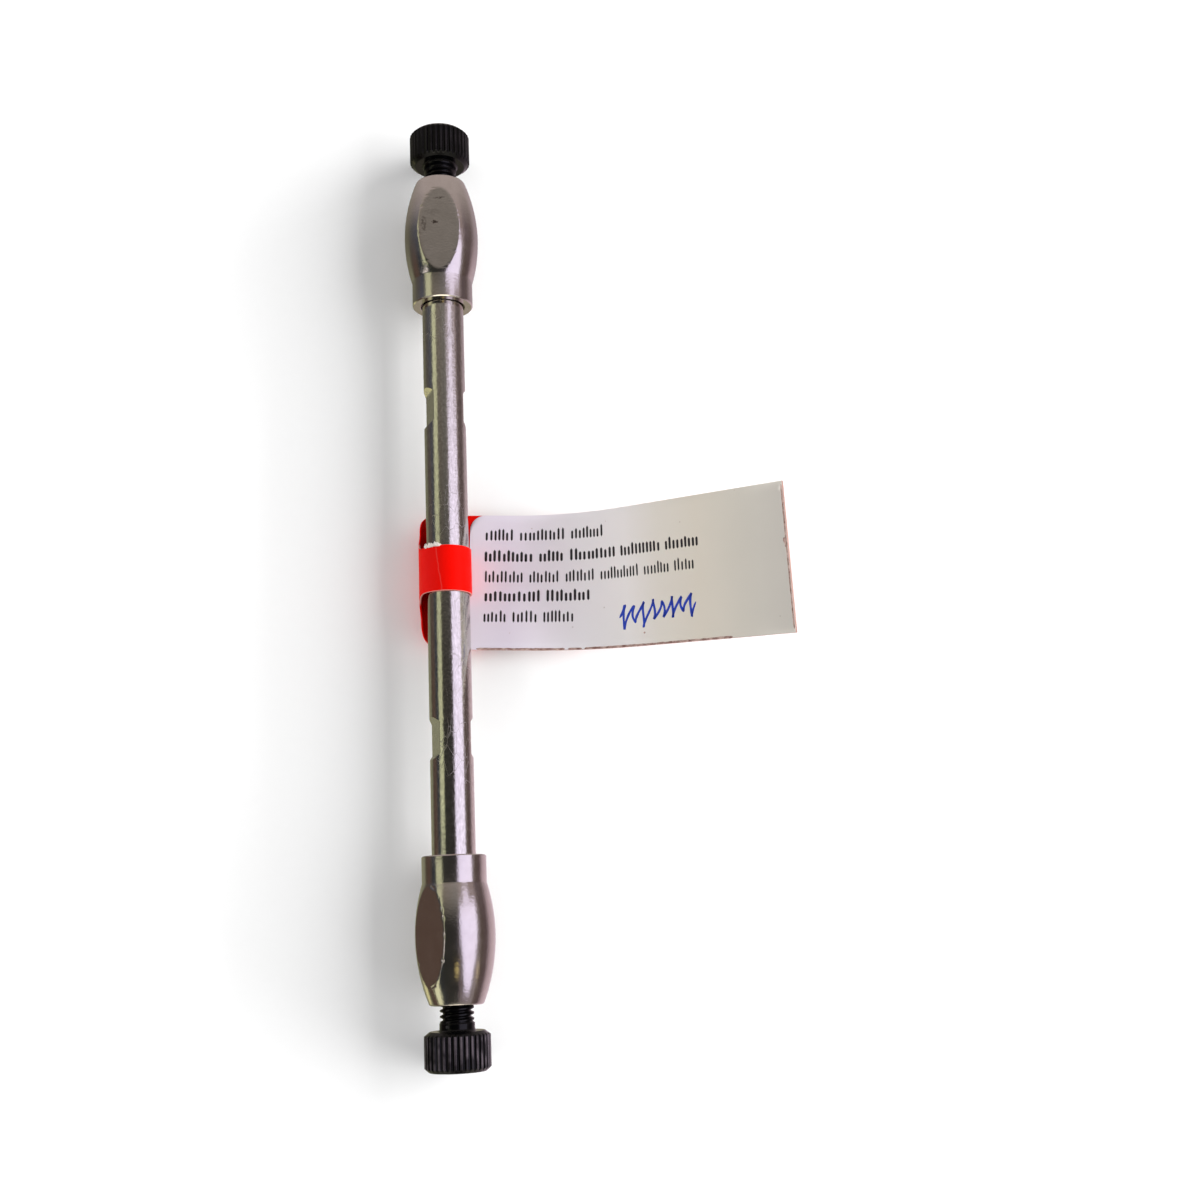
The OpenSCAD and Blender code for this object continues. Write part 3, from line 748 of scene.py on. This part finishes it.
def tumbled_fitting_steel():
    # 316 stainless bar, turned, then tumbled: a satin sheen with a fine, even grit and a few handling marks
    finish, tree, mm = new_finish("tumbled_stainless_fitting")
    # real grit marks are about 0.1 mm across, too fine to show; drawn 0.35 mm across
    grit = add(tree, "TexNoise", {"Vector": mm, "Scale": 2.9, "Detail": 1.0, "Roughness": 0.6})
    cloud = add(tree, "TexNoise", {"Vector": mm, "Scale": 0.5, "Detail": 4.0, "Roughness": 0.6})
    rough = add(tree, "MapRange", {
        "Value": cloud, "From Min": 0.3, "From Max": 0.7, "To Min": 0.13, "To Max": 0.2})
    bump = add(tree, "Bump", {"Height": grit, "Strength": 0.7, "Distance": 0.000017})
    metal = add(tree, "Mix", {0: cloud, 6: "#bdb7b2", 7: "#d6d0cc"}, data_type="RGBA")
    # thread sealant and fingerprints that have dried on, on the inlet's upper flat
    wander = add(tree, "TexNoise", {"Vector": mm, "Scale": 2.6, "Detail": 4.0, "Roughness": 0.7})
    ragged = add(tree, "VectorMath", {0: wander.outputs["Color"], 1: (1.1, 1.1, 0.0), 2: mm},
                 operation="MULTIPLY_ADD")
    dirt = None
    for x, y, half_x, half_y, depth in ((0.66, 58.98, 0.95, 0.2, 0.75), (-0.1, 54.95, 0.62, 0.24, 0.85),
                                        (-1.75, 54.7, 0.42, 1.3, 0.5), (-0.4, 56.6, 1.3, 0.6, 0.14)):
        mark = stain(tree, ragged, (x, y, 4.76), (half_x, half_y, 1.0))
        mark = add(tree, "Math", {0: mark, 1: depth}, operation="MULTIPLY")
        dirt = mark if dirt is None else add(tree, "Math", {0: dirt, 1: mark}, operation="MAXIMUM")
    patchy = add(tree, "MapRange", {"Value": wander, "From Min": 0.38, "From Max": 0.52})
    dirt = add(tree, "Math", {0: dirt, 1: patchy}, operation="MULTIPLY")
    tone = add(tree, "Mix", {0: dirt, 6: metal, 7: "#4a382c"}, data_type="RGBA")
    return finish_with(finish, add(tree, "BsdfPrincipled", {
        "Base Color": tone, "Metallic": 1.0, "Roughness": rough, "Normal": bump}))


def black_moulding():
    # black moulded acetal: satin, with dim greyish highlights, and lighter grey painted highlights on the
    # ridge crests of the outlet's head
    finish, tree, mm = new_finish("black_moulded_acetal")
    cloud = add(tree, "TexNoise", {"Vector": mm, "Scale": 1.6, "Detail": 4.0})
    rough = add(tree, "MapRange", {
        "Value": cloud, "From Min": 0.3, "From Max": 0.7, "To Min": 0.12, "To Max": 0.2})
    bump = add(tree, "Bump", {"Height": cloud, "Strength": 0.12, "Distance": 0.00003})
    off_axis = add(tree, "VectorMath", {0: mm, 1: (1.0, 0.0, 1.0)}, operation="MULTIPLY")
    radius = add(tree, "VectorMath", {0: off_axis}, operation="LENGTH")
    crest = add(tree, "MapRange", {"Value": radius, "From Min": HEAD_R - 0.12, "From Max": HEAD_R - 0.03})
    # painted highlight: the outlet head's ridge crests are painted a lighter grey in uneven patches, standing
    # in for the light they catch
    crest_highlight_patches = add(tree, "TexNoise", {"Vector": mm, "Scale": 0.38, "Detail": 2.0})
    crest_highlight_patches = add(tree, "MapRange", {"Value": crest_highlight_patches, "From Min": 0.42, "From Max": 0.6, "To Min": 0.15})
    spot = add(tree, "SeparateXYZ", {0: mm}).outputs
    end = add(tree, "MapRange", {"Value": spot["Y"], "From Min": 1.0, "From Max": -1.0, "To Min": 0.1})
    # painted highlight: the crest band, kept to the outlet end and broken into patches, is mixed towards the
    # lighter grey
    painted_crest_highlight = crest
    for share in (end, crest_highlight_patches):
        painted_crest_highlight = add(tree, "Math", {0: painted_crest_highlight, 1: share}, operation="MULTIPLY")
    tone = add(tree, "Mix", {0: painted_crest_highlight, 6: "#030304", 7: "#463f45"}, data_type="RGBA")
    return finish_with(finish, add(tree, "BsdfPrincipled", {
        "Base Color": tone, "Roughness": rough, "IOR": 1.48, "Specular IOR Level": 0.22, "Normal": bump}))


def free_end_face(tree, facing_out):
    """1 on the cut face at the tag's free end, which slants upwards and outwards, and 0 elsewhere."""
    end = add(tree, "VectorMath", {0: facing_out, 1: (0.7, 0.0, 0.7)}, operation="DOT_PRODUCT")
    return add(tree, "Math", {0: end, 1: 0.85}, operation="GREATER_THAN")


def red_vinyl():
    # red vinyl film, die cut: strong even red with a soft sheen, pale where it is cut or creased
    finish, tree, mm = new_finish("red_vinyl_film")
    spot = add(tree, "SeparateXYZ", {0: mm}).outputs
    facing_out = add(tree, "NewGeometry").outputs["True Normal"]
    facing = add(tree, "SeparateXYZ", {0: facing_out}).outputs
    cloud = add(tree, "TexNoise", {"Vector": mm, "Scale": 0.35, "Detail": 3.0})
    red = add(tree, "Mix", {0: cloud, 6: "#de0700", 7: "#ea0a02"}, data_type="RGBA")
    # the gummed back of the long tail is a duller, darker red, made dark so that it throws less red light
    # onto the floor
    tail = add(tree, "MapRange", {"Value": spot["X"], "From Min": 4.5, "From Max": 5.5})
    under = add(tree, "MapRange", {"Value": facing["Z"], "From Min": -0.1, "From Max": -0.4, "To Max": 0.8})
    back = add(tree, "Math", {0: tail, 1: under}, operation="MULTIPLY")
    red = add(tree, "Mix", {0: back, 6: red, 7: "#5c1210"}, data_type="RGBA")
    # a crease runs slantwise over the strap, 0.2 mm wide
    sway = add(tree, "TexNoise", {"Vector": mm, "Scale": 0.9, "Detail": 3.0})
    slant = add(tree, "Math", {0: spot["Y"], 1: 0.125, 2: spot["X"]}, operation="MULTIPLY_ADD")
    crease_off = add(tree, "Math", {0: sway, 1: 0.4, 2: slant}, operation="MULTIPLY_ADD")
    crease = add(tree, "Math", {0: crease_off, 1: -1.0, 2: 0.09}, operation="COMPARE")
    above = add(tree, "Math", {0: facing["Z"], 1: 0.2}, operation="GREATER_THAN")
    for share in (above, 0.06):
        crease = add(tree, "Math", {0: crease, 1: share}, operation="MULTIPLY")
    red = add(tree, "Mix", {0: crease, 6: red, 7: "#f6b4aa"}, data_type="RGBA")
    # cut edges: pale pink on the strap, grubby on the tail
    cut_tone = add(tree, "Mix", {0: tail, 6: "#f2b0a6", 7: "#a08078"}, data_type="RGBA")
    sideways = add(tree, "Math", {0: facing["Y"]}, operation="ABSOLUTE")
    cut = add(tree, "MapRange", {"Value": sideways, "From Min": 0.6, "From Max": 0.75, "To Max": 0.8})
    end = add(tree, "Math", {0: free_end_face(tree, facing_out), 1: tail}, operation="MULTIPLY")
    cut = add(tree, "Math", {0: cut, 1: end}, operation="MAXIMUM")
    tone = add(tree, "Mix", {0: cut, 6: red, 7: cut_tone}, data_type="RGBA")
    bump = add(tree, "Bump", {"Height": cloud, "Strength": 0.3, "Distance": 0.0002})
    return finish_with(finish, add(tree, "BsdfPrincipled", {
        "Base Color": tone, "Roughness": 0.4, "IOR": 1.5, "Specular IOR Level": 0.07, "Normal": bump}))


def label_paper():
    # coated white label paper with painted light along its length, lavender near the strap and greyer and
    # darker towards the curled free end; otherwise nearly even, a little cloudy, with grubby edges
    finish, tree, mm = new_finish("coated_label_paper")
    facing_out = add(tree, "NewGeometry").outputs["True Normal"]
    facing = add(tree, "SeparateXYZ", {0: facing_out}).outputs
    cloud = add(tree, "TexNoise", {"Vector": mm, "Scale": 0.12, "Detail": 4.0})
    fibre = add(tree, "TexNoise", {"Vector": mm, "Scale": 6.0, "Detail": 2.0})
    spot = add(tree, "SeparateXYZ", {0: mm}).outputs
    # painted light and shade: the tint along the label goes from lavender by the strap to white, then greyer
    # and darker towards the curled free end, standing in for coloured light and the shade where the curl
    # turns away
    along = add(tree, "MapRange", {"Value": spot["X"], "From Min": 4.0, "From Max": 49.0})
    painted_light_tint = add(tree, "ValToRGB", {"Fac": along})
    set_stops(painted_light_tint, ((0.0, "#efe6f2"), (0.1, "#ece2f0"), (0.36, "#f4f0f3"), (0.5, "#f2eeec"),
                    (0.6, "#e8e2d8"), (0.72, "#e2dacc"), (0.9, "#d8d2c8"), (1.0, "#ccc6be")))
    tone = add(tree, "Mix", {0: cloud, 6: "#f9f9f9", 7: "#ffffff"}, data_type="RGBA")
    tone = add(tree, "Mix", {0: 1.0, 6: painted_light_tint, 7: tone}, data_type="RGBA", blend_type="MULTIPLY")
    # specks of dirt, 0.3 mm across, a few millimetres apart
    dots = add(tree, "TexVoronoi", {"Vector": mm, "Scale": 0.28})
    speck = add(tree, "MapRange", {"Value": dots, "From Min": 0.05, "From Max": 0.03, "To Max": 0.35})
    tone = add(tree, "Mix", {0: speck, 6: tone, 7: "#8a7668"}, data_type="RGBA")
    sideways = add(tree, "Math", {0: facing["Y"]}, operation="ABSOLUTE")
    edge = add(tree, "Math", {0: sideways, 1: 0.6}, operation="GREATER_THAN")
    edge = add(tree, "Math", {0: edge, 1: free_end_face(tree, facing_out)}, operation="MAXIMUM")
    grub = add(tree, "TexNoise", {"Vector": mm, "Scale": 0.8, "Detail": 4.0})
    grime = add(tree, "Mix", {0: grub, 6: "#6a5048", 7: "#c8b0a8"}, data_type="RGBA")
    tone = add(tree, "Mix", {0: edge, 6: tone, 7: grime}, data_type="RGBA")
    bump = add(tree, "Bump", {"Height": fibre, "Strength": 0.12, "Distance": 0.00004})
    return finish_with(finish, add(tree, "BsdfPrincipled", {
        "Base Color": tone, "Roughness": 0.5, "IOR": 1.45, "Normal": bump}))


def dried_grime():
    # gum and dirt dried on the label's cut edges: matt, pinkish to dark brown
    finish, tree, mm = new_finish("dried_gum_and_dirt")
    patch = add(tree, "TexNoise", {"Vector": mm, "Scale": 1.1, "Detail": 5.0, "Roughness": 0.7})
    ramp = add(tree, "MapRange", {"Value": patch, "From Min": 0.35, "From Max": 0.62})
    tone = add(tree, "Mix", {0: ramp, 6: "#785248", 7: "#ccb0a6"}, data_type="RGBA")
    bump = add(tree, "Bump", {"Height": patch, "Strength": 0.4, "Distance": 0.00005})
    return finish_with(finish, add(tree, "BsdfPrincipled", {
        "Base Color": tone, "Roughness": 0.8, "Normal": bump}))


def torn_paper_fibre():
    # torn label paper: bright white, matt and fibrous
    finish, tree, mm = new_finish("torn_label_paper")
    fibre = add(tree, "TexNoise", {"Vector": mm, "Scale": 5.0, "Detail": 4.0, "Roughness": 0.7})
    tone = add(tree, "Mix", {0: fibre, 6: "#c8beb4", 7: "#f6f0ea"}, data_type="RGBA")
    bump = add(tree, "Bump", {"Height": fibre, "Strength": 0.6, "Distance": 0.0001})
    return finish_with(finish, add(tree, "BsdfPrincipled", {
        "Base Color": tone, "Roughness": 0.85, "Normal": bump}))


def worn_ink(name, scale, dense, thin, rough):
    finish, tree, mm = new_finish(name)
    wear = add(tree, "TexNoise", {"Vector": mm, "Scale": scale, "Detail": 3.0})
    tone = add(tree, "Mix", {0: wear, 6: dense, 7: thin}, data_type="RGBA")
    return finish_with(finish, add(tree, "BsdfPrincipled", {"Base Color": tone, "Roughness": rough}))


def printing_ink():
    # black thermal print: dark grey, matt, a little worn
    return worn_ink("black_label_ink", 4.0, "#0e0d10", "#2c292d", 0.55)


def pen_ink():
    # blue ballpoint ink: uneven, denser where the stroke is slow
    return worn_ink("blue_ballpoint_ink", 2.5, "#082aa8", "#204cc4", 0.45)


def sintered_steel():
    # sintered stainless powder: dull and pitted, with 0.05 mm grains drawn 0.15 mm wide
    finish, tree, mm = new_finish("sintered_stainless_frit")
    grain = add(tree, "TexVoronoi", {"Vector": mm, "Scale": 6.0})
    bump = add(tree, "Bump", {"Height": grain, "Strength": 0.6, "Distance": 0.00006})
    return finish_with(finish, add(tree, "BsdfPrincipled", {
        "Base Color": "#8f8b86", "Metallic": 1.0, "Roughness": 0.5, "Normal": bump}))


def packed_silica():
    # packed silica: a chalky white powder, pressed hard
    finish, tree, mm = new_finish("packed_white_silica")
    grain = add(tree, "TexNoise", {"Vector": mm, "Scale": 8.0, "Detail": 3.0})
    bump = add(tree, "Bump", {"Height": grain, "Strength": 0.3, "Distance": 0.00003})
    return finish_with(finish, add(tree, "BsdfPrincipled", {
        "Base Color": "#efeee9", "Roughness": 0.9, "Normal": bump}))


def tan_polymer():
    # machined PEEK: an opaque tan with faint turning rings, 0.1 mm apart and drawn 0.2 mm apart
    finish, tree, mm = new_finish("turned_tan_peek")
    rings = add(tree, "TexWave", {"Vector": mm, "Scale": 1.6, "Distortion": 0.4},
                wave_type="RINGS", rings_direction="Y")
    bump = add(tree, "Bump", {"Height": rings.outputs["Fac"], "Strength": 0.2, "Distance": 0.00002})
    return finish_with(finish, add(tree, "BsdfPrincipled", {
        "Base Color": "#c8ad83", "Roughness": 0.4, "Normal": bump}))


def matt_floor():
    # white matt card
    finish, tree, mm = new_finish("white_matt_card")
    fibre = add(tree, "TexNoise", {"Vector": mm, "Scale": 0.6, "Detail": 3.0})
    tone = add(tree, "Mix", {0: fibre, 6: "#fbfbfb", 7: "#fdfdfd"}, data_type="RGBA")
    return finish_with(finish, add(tree, "BsdfDiffuse", {"Color": tone}))


# ---------------------------------------------------------------- putting the column together

def plug_skin(side, head_at, turn):
    """A plug's head and shank; turn is that of the head's ridges, in degrees."""
    return join_skins([ring_skin(head_rings(side, head_at, turn)), ring_skin(shank_rings(side, head_at))])


tube_finish = ground_tube_steel()
fitting_finish = tumbled_fitting_steel()
plug_finish = black_moulding()

make_piece("ground_tube", ring_skin(tube_rings(), endless=True), tube_finish,
           "column", ["column_tube"])
make_piece("inlet_fitting_turned", ring_skin(fitting_rings(1, 0.0), endless=True), fitting_finish,
           "column", ["inlet_end_fitting"])
make_piece("outlet_fitting_turned", ring_skin(fitting_rings(-1, 45.0), endless=True), fitting_finish,
           "column", ["outlet_end_fitting"])
make_piece("inlet_plug_moulded", plug_skin(1, INLET_HEAD, 3.0), plug_finish,
           "inlet_plug_body", ["inlet_plug"])
make_piece("outlet_plug_moulded", plug_skin(-1, OUTLET_HEAD, 0.0), plug_finish,
           "outlet_plug_body", ["outlet_plug"])
make_piece("tag_film", ring_skin(tag_rings()), red_vinyl(), "column", ["tag"])
make_piece("paper_label", ring_skin(label_rings()), label_paper(), "column", ["tag_label"])
make_piece("label_print_bars", label_print(), printing_ink(), "column")
make_piece("label_pen_line", pen_line(), pen_ink(), "column")
make_piece("label_edge_grime", edge_grime(), dried_grime(), "column")
make_piece("torn_paper_strip", torn_paper(), torn_paper_fibre(), "column")

sintered, silica, peek = sintered_steel(), packed_silica(), tan_polymer()
for node_name, finish in (("inlet_frit", sintered), ("outlet_frit", sintered), ("packed_bed", silica),
                          ("inlet_seal_ring", peek), ("outlet_seal_ring", peek)):
    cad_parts[node_name].material_slots[0].material = finish

# ---------------------------------------------------------------- floor, light and camera

floor_mesh = bpy.data.meshes.new("floor")
floor_mesh.from_pydata([Vector((x * FLOOR_REACH, y * FLOOR_REACH, FLOOR_Z)) * MM
                        for x, y in ((-1, -1), (1, -1), (1, 1), (-1, 1))], [], [(0, 1, 2, 3)])
floor = bpy.data.objects.new("floor", floor_mesh)
scene.collection.objects.link(floor)
floor_mesh.materials.append(matt_floor())
floor.visible_glossy = False

LAMP_AWAY = 0.7


def soft_box(name, lean, wide, long, power):
    """A white area light that faces the column, with its long side along it; sizes in metres.
    Seen from the column, lean is its angle from straight up towards +X, in degrees."""
    lamp = bpy.data.lights.new(name, "AREA")
    lamp.shape = "RECTANGLE"
    lamp.size, lamp.size_y = wide, long
    lamp.energy = power
    light = bpy.data.objects.new(name, lamp)
    a = radians(lean)
    way = Vector((sin(a), 0, cos(a)))
    across = Vector((0, 1, 0)).cross(way)
    stand = Matrix((across, way.cross(across), way)).transposed().to_4x4()
    stand.translation = way * LAMP_AWAY
    light.matrix_world = stand
    scene.collection.objects.link(light)
    light.visible_camera = False
    light.visible_glossy = False


# soft light for the shapes and the shadow; the steel mirrors the room below instead
soft_box("window_light", 58, 0.36, 1.0, 5.7)
soft_box("low_window_light", 75, 0.09, 1.0, 6.0)
soft_box("left_fill", -66, 0.5, 1.0, 3.1)

# The room that the steel mirrors, by the angle round the column from straight up towards +X, in degrees:
# floor on the left, wall, ceiling, wall and floor on the right. The far room lies towards +Y.
NEAR_ROOM = ((-180, "#b0a694"), (-158, "#9a9a80"), (-125, "#94947c"), (-112, "#5c5044"), (-95, "#67534a"),
             (-85, "#5a5048"), (-76, "#3c4048"), (-30, "#34342f"), (8, "#363433"), (20, "#807478"),
             (72, "#a09494"), (84, "#6a5c56"), (105, "#68585a"), (125, "#d8c0c8"), (180, "#f8e4ee"))
FAR_ROOM = ((-180, "#7a786a"), (-125, "#706c5c"), (-100, "#5c5c5c"), (-80, "#5c5e6a"), (-50, "#8a8674"),
            (-25, "#8a8278"), (8, "#8f8b86"), (25, "#a89a98"), (72, "#a89694"), (84, "#74666a"),
            (112, "#746664"), (135, "#b4a4aa"), (180, "#b4a4aa"))

world = bpy.data.worlds.new("pale_room")
scene.world = world
world.use_nodes = True
sky = world.node_tree
sky.nodes.clear()
toward = add(sky, "SeparateXYZ", {0: add(sky, "TexCoord").outputs["Generated"]}).outputs
lean = add(sky, "Math", {0: toward["X"], 1: toward["Z"]}, operation="ARCTAN2")
lean_share = add(sky, "MapRange", {"Value": lean, "From Min": -pi, "From Max": pi})
near_room, far_room = add(sky, "ValToRGB", {"Fac": lean_share}), add(sky, "ValToRGB", {"Fac": lean_share})
for ramp, stops in ((near_room, NEAR_ROOM), (far_room, FAR_ROOM)):
    set_stops(ramp, [((degrees + 180) / 360, colour) for degrees, colour in stops])
farther = add(sky, "MapRange", {"Value": toward["Y"], "From Min": 0.15, "From Max": 0.42})
room = add(sky, "Mix", {0: farther, 6: near_room, 7: far_room}, data_type="RGBA")
# the wall beyond the inlet end, the wall beyond the outlet end, and a dark corner in that one
for start, whole, colour in ((0.45, 0.8, "#c4b8b4"), (-0.72, -0.9, "#f4eedc"), (-0.955, -0.98, "#3a3633")):
    reached = add(sky, "MapRange", {"Value": toward["Y"], "From Min": start, "From Max": whole})
    room = add(sky, "Mix", {0: reached, 6: room, 7: colour}, data_type="RGBA")
shine = add(sky, "Background", {"Color": room, "Strength": 1.0})
lean_degrees = add(sky, "Math", {0: lean, 1: 180 / pi}, operation="MULTIPLY")
PATCH_EASE = 3


def bright_patch(light_so_far, middle, half, taper, low, high, soft, colour, strength):
    """Adds a bright soft-edged patch to the mirrored room, from low to high along Y.
    It lies within half degrees of its middle lean, less taper for each unit towards -Y."""
    off = add(sky, "Math", {0: lean_degrees, 1: middle}, operation="SUBTRACT")
    off = add(sky, "Math", {0: off}, operation="ABSOLUTE")
    back = add(sky, "Math", {0: toward["Y"], 1: 0.0}, operation="MINIMUM")
    off = add(sky, "Math", {0: back, 1: -taper, 2: off}, operation="MULTIPLY_ADD")
    share = add(sky, "MapRange", {
        "Value": off, "From Min": half + PATCH_EASE, "From Max": half - PATCH_EASE, "To Max": strength})
    for edge, way in ((low, soft), (high, -soft)):
        kept = add(sky, "MapRange", {"Value": toward["Y"], "From Min": edge - way, "From Max": edge + way})
        share = add(sky, "Math", {0: share, 1: kept}, operation="MULTIPLY")
    patch = add(sky, "Background", {"Color": colour, "Strength": share})
    return add(sky, "AddShader", {0: light_so_far, 1: patch})


for patch in ((44, 26, 25, -0.58, 0.34, 0.05, "#e4dffc", 1.45),
              (41, 10, 0, 0.35, 0.5, 0.04, "#e4dffc", 1.0),
              (-51, 12, 0, 0.05, 0.5, 0.015, "#e0e4b8", 0.72),
              (-51, 12, 0, 0.05, 0.14, 0.015, "#e0e4b8", 0.4),
              (-72, 12, 0, -0.68, -0.3, 0.05, "#e8e8bc", 1.3),
              (-130, 10, 0, -0.36, -0.2, 0.05, "#f0e8a0", 0.8),
              (7, 4.5, 0, -0.43, -0.35, 0.02, "#f4dc8c", 1.5),
              (76, 4, 0, -0.4, -0.28, 0.02, "#f4dca0", 0.6),
              (0, 45, 0, -0.94, -0.83, 0.02, "#fff6e2", 1.9),
              (-62, 14, 0, -0.11, -0.045, 0.01, "#ece4de", 2.4)):
    shine = bright_patch(shine, *patch)
# mirrors show the room, matt surfaces are lit by a plain pale one, and the backdrop is white
pale = add(sky, "Background", {"Color": "#ffffff", "Strength": 0.37})
backdrop = add(sky, "Background", {"Color": "#fafafa", "Strength": 1.0})
ray = add(sky, "LightPath").outputs
seen = add(sky, "MixShader", {0: ray["Is Glossy Ray"], 1: pale, 2: shine})
seen = add(sky, "MixShader", {0: ray["Is Camera Ray"], 1: seen, 2: backdrop})
add(sky, "OutputWorld", {"Surface": seen})

lens = bpy.data.cameras.new("bench_camera")
lens.sensor_width = 36.0
lens.lens = 44.867
lens.clip_start = 0.005
camera = bpy.data.objects.new("bench_camera", lens)
right = Vector((0.99889305, -0.04126932, 0.02257242))
up = Vector((0.03550794, 0.97627479, 0.21360413))
back = -Vector((0.03085218, 0.21256618, -0.97665949))
pose = Matrix((right, up, back)).transposed().to_4x4()
pose.translation = Vector((15.68541274, -52.89773297, 218.62156814)) * MM
camera.matrix_world = pose
scene.collection.objects.link(camera)
scene.camera = camera
scene.view_settings.view_transform = "Standard"
